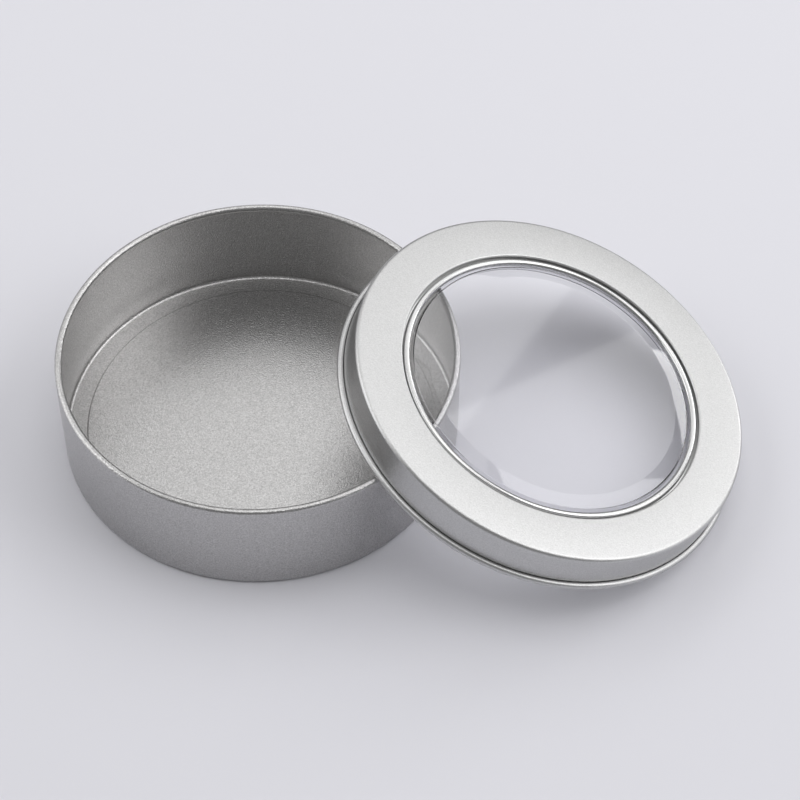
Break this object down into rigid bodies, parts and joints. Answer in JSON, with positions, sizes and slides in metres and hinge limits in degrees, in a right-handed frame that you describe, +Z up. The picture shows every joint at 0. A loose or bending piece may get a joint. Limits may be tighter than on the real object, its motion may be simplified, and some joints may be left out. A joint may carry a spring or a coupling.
{
  "type": "round tin with window lid",
  "caption": "Shallow round slip-lid tin of drawn tinplate, open, with its clear-windowed lid leaning on the rim; both shells end in rolled curls.",
  "frame": {"origin": "centre of the tin's base, on the surface that the tin stands on", "axes": "+Z up, +X from the tin to the leaning lid, which leans about Y"},
  "size_m": [0.1455, 0.089, 0.0368],
  "materials": {
    "tin_metal": "satin",
    "lid_metal": "satin",
    "ring_metal": "bright",
    "clear_plastic": "clear"
  },
  "bodies": {
    "tin": {"tin_body": "tin_metal"},
    "lid": {"lid_shell": "lid_metal", "window_ring": "ring_metal", "window_pane": "clear_plastic"}
  },
  "joints": [
    {"name": "lid_lift", "type": "slide", "parent": "tin", "child": "lid", "axis": [0, 0, 1], "range_m": [0, 0.06]}
  ]
}
